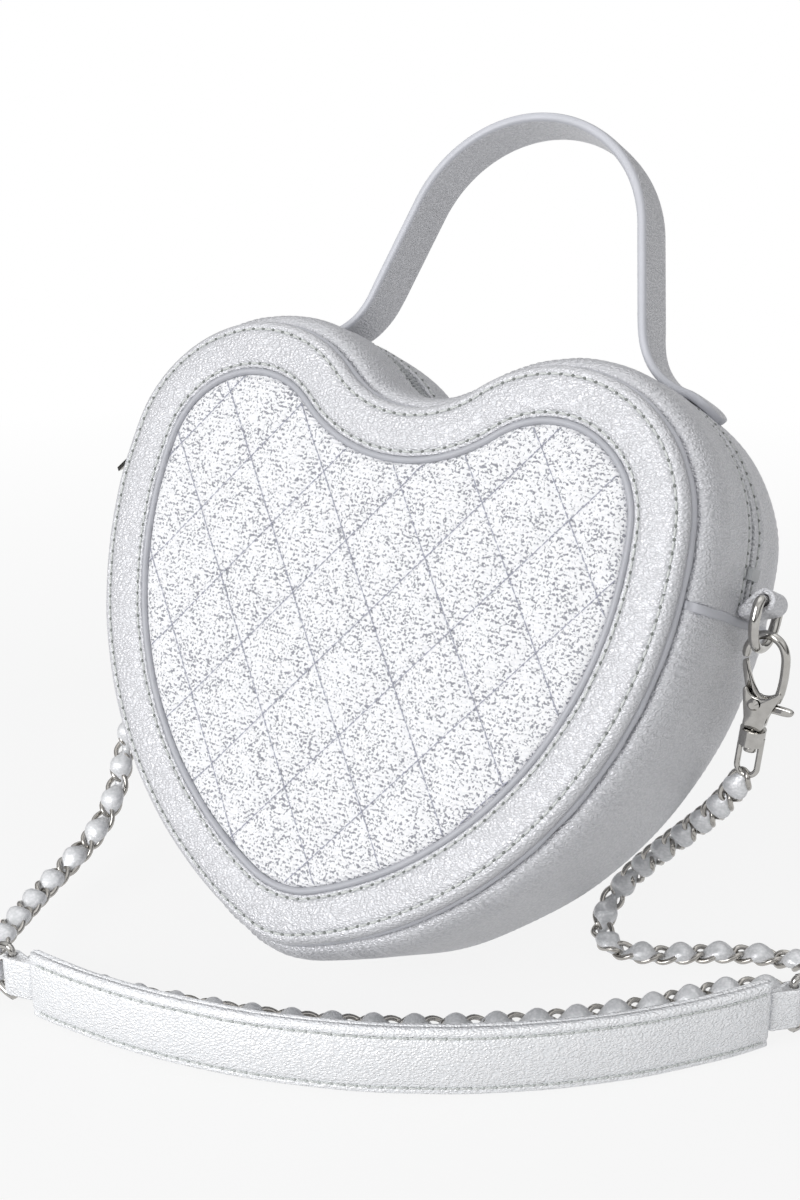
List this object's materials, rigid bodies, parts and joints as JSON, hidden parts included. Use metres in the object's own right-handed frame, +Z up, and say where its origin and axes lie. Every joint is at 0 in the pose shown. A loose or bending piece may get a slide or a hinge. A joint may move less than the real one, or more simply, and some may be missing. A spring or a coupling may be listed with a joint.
{
  "type": "heart shaped purse",
  "caption": "Heart shaped zip purse with a quilted front in a padded leather frame, a top handle, side rings and a clip-on chain strap with a shoulder pad.",
  "frame": {"origin": "on the floor, under the middle of the lower rear edge that the bag stands on", "axes": "+X to the bag's right as seen from the front, +Y to the back, +Z up; the bag leans back about X"},
  "size_m": [0.2709, 0.2058, 0.2564],
  "materials": {
    "silver_leather": "pebbled silver-white faux leather, slightly pearly",
    "smooth_trim": "smooth silver-grey faux leather rolled over cord",
    "tweed": "white tweed with grey flecks, quilted in diamonds over foam",
    "lining": "plain woven grey lining",
    "board": "plain stiffening board",
    "zip_tape": "woven grey zip tape",
    "zip_coil": "moulded coil",
    "nickel": "polished nickel plate",
    "nickel_chain": "nickel chain threaded with a silver leather lace"
  },
  "bodies": {
    "bag": {"front_frame": "silver_leather", "front_edge_roll": "smooth_trim", "front_quilt": "tweed", "front_backing": "board", "lining_front": "lining", "front_piping": "smooth_trim", "rear_panel": "silver_leather", "rear_backing": "board", "lining_rear": "lining", "rear_piping": "smooth_trim", "lower_gusset": "silver_leather", "zip_gusset_front": "silver_leather", "zip_gusset_rear": "silver_leather", "lining_band_lower": "lining", "lining_band_front": "lining", "lining_band_rear": "lining", "zip_tape_front": "zip_tape", "zip_tape_rear": "zip_tape", "zip_coil_front": "zip_coil", "zip_coil_rear": "zip_coil", "zip_stops": "nickel", "side_seam_right": "silver_leather", "side_seam_left": "silver_leather", "handle_tab_right": "silver_leather", "handle_tab_left": "silver_leather", "ring_tab_right": "silver_leather", "swivel_eye_right": "nickel", "ring_tab_left": "silver_leather", "swivel_eye_left": "nickel", "pad_face": "silver_leather", "pad_backing": "silver_leather", "pad_tab_right": "silver_leather", "pad_ring_right": "nickel", "pad_tab_left": "silver_leather", "pad_ring_left": "nickel", "chain_right": "nickel_chain", "chain_left": "nickel_chain", "chain_middle": "nickel_chain"},
    "zip_slider": {"zip_slider": "nickel"},
    "zip_pull": {"zip_pull": "nickel"},
    "handle": {"handle": "silver_leather"},
    "d_ring_right": {"d_ring_right": "nickel"},
    "d_ring_left": {"d_ring_left": "nickel"},
    "hook_right": {"hook_right": "nickel", "hook_pivot_right": "nickel"},
    "hook_left": {"hook_left": "nickel", "hook_pivot_left": "nickel"},
    "gate_right": {"hook_gate_right": "nickel"},
    "gate_left": {"hook_gate_left": "nickel"}
  },
  "joints": [
    {"name": "zip_run", "type": "hinge", "parent": "bag", "child": "zip_slider", "pos_m": [-0.05206, 0.03084, 0.13926], "axis": [0, 0.899, -0.438], "range_deg": [0, 108]},
    {"name": "pull_swing", "type": "hinge", "parent": "zip_slider", "child": "zip_pull", "pos_m": [-0.105, 0.03706, 0.15201], "axis": [0, 0.899, -0.438], "range_deg": [-20, 115]},
    {"name": "handle_fold", "type": "hinge", "parent": "bag", "child": "handle", "pos_m": [0, 0.072, 0.19057], "axis": [1, 0, 0], "range_deg": [-60, 60], "stiffness_Nm_per_rad": 0.12},
    {"name": "ring_swing_right", "type": "hinge", "parent": "bag", "child": "d_ring_right", "pos_m": [0.1109, 0.0283, 0.13405], "axis": [0, -0.899, 0.438], "range_deg": [-1.5, 10]},
    {"name": "hook_swivel_right", "type": "hinge", "parent": "bag", "child": "hook_right", "pos_m": [0.11067, 0.0265, 0.10512], "axis": [0.087, 0, 0.9962], "range_deg": [-20, 20]},
    {"name": "gate_open_right", "type": "hinge", "parent": "hook_right", "child": "gate_right", "pos_m": [0.11009, 0.0265, 0.10417], "axis": [0, 1, 0], "range_deg": [0, 20], "stiffness_Nm_per_rad": 0.02, "springref_deg": -17.19},
    {"name": "ring_swing_left", "type": "hinge", "parent": "bag", "child": "d_ring_left", "pos_m": [-0.1109, 0.0283, 0.13405], "axis": [0, 0.899, -0.438], "range_deg": [-1.5, 10]},
    {"name": "hook_swivel_left", "type": "hinge", "parent": "bag", "child": "hook_left", "pos_m": [-0.11067, 0.0265, 0.10512], "axis": [-0.087, 0, 0.9962], "range_deg": [-20, 20]},
    {"name": "gate_open_left", "type": "hinge", "parent": "hook_left", "child": "gate_left", "pos_m": [-0.11009, 0.0265, 0.10417], "axis": [0, -1, 0], "range_deg": [0, 20], "stiffness_Nm_per_rad": 0.02, "springref_deg": -17.19}
  ]
}
